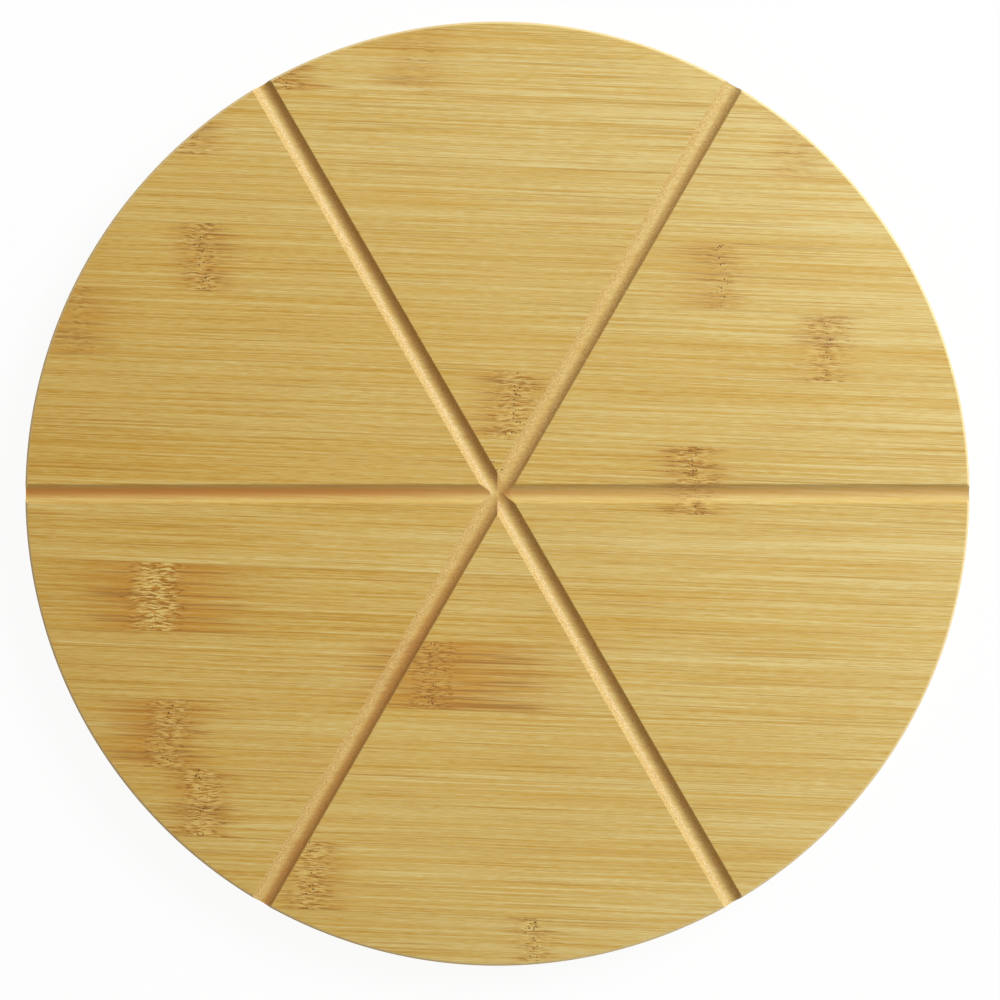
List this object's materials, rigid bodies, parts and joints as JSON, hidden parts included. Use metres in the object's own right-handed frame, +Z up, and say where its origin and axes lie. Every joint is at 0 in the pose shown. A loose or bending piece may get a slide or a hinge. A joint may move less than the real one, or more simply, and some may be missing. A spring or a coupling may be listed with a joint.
{
  "type": "pizza serving board",
  "caption": "Round serving board for pizza, laminated from crossed plies of bamboo strips, with bevelled edges and slicing grooves across the top.",
  "frame": {"origin": "centre of the underside, on the surface that the board rests on", "axes": "+Z up out of the serving face; +X along the level groove, to the right in the picture; +Y to the top of the picture"},
  "size_m": [0.32, 0.32, 0.015],
  "materials": {
    "bamboo_top": "satin",
    "bamboo_core": "satin",
    "bamboo_bottom": "satin"
  },
  "bodies": {
    "root": {"top_front_strip": "bamboo_top", "top_strip_01": "bamboo_top", "top_strip_02": "bamboo_top", "top_strip_03": "bamboo_top", "top_strip_04": "bamboo_top", "top_strip_05": "bamboo_top", "top_strip_06": "bamboo_top", "top_strip_07": "bamboo_top", "top_strip_08": "bamboo_top", "top_strip_09": "bamboo_top", "top_strip_10": "bamboo_top", "top_strip_11": "bamboo_top", "top_strip_12": "bamboo_top", "top_strip_13": "bamboo_top", "top_back_strip": "bamboo_top", "core_left_strip": "bamboo_core", "core_strip_01": "bamboo_core", "core_strip_02": "bamboo_core", "core_strip_03": "bamboo_core", "core_strip_04": "bamboo_core", "core_strip_05": "bamboo_core", "core_strip_06": "bamboo_core", "core_strip_07": "bamboo_core", "core_strip_08": "bamboo_core", "core_strip_09": "bamboo_core", "core_strip_10": "bamboo_core", "core_strip_11": "bamboo_core", "core_strip_12": "bamboo_core", "core_right_strip": "bamboo_core", "bottom_front_strip": "bamboo_bottom", "bottom_strip_01": "bamboo_bottom", "bottom_strip_02": "bamboo_bottom", "bottom_strip_03": "bamboo_bottom", "bottom_strip_04": "bamboo_bottom", "bottom_strip_05": "bamboo_bottom", "bottom_strip_06": "bamboo_bottom", "bottom_strip_07": "bamboo_bottom", "bottom_strip_08": "bamboo_bottom", "bottom_strip_09": "bamboo_bottom", "bottom_strip_10": "bamboo_bottom", "bottom_strip_11": "bamboo_bottom", "bottom_strip_12": "bamboo_bottom", "bottom_strip_13": "bamboo_bottom", "bottom_back_strip": "bamboo_bottom"}
  },
  "joints": []
}
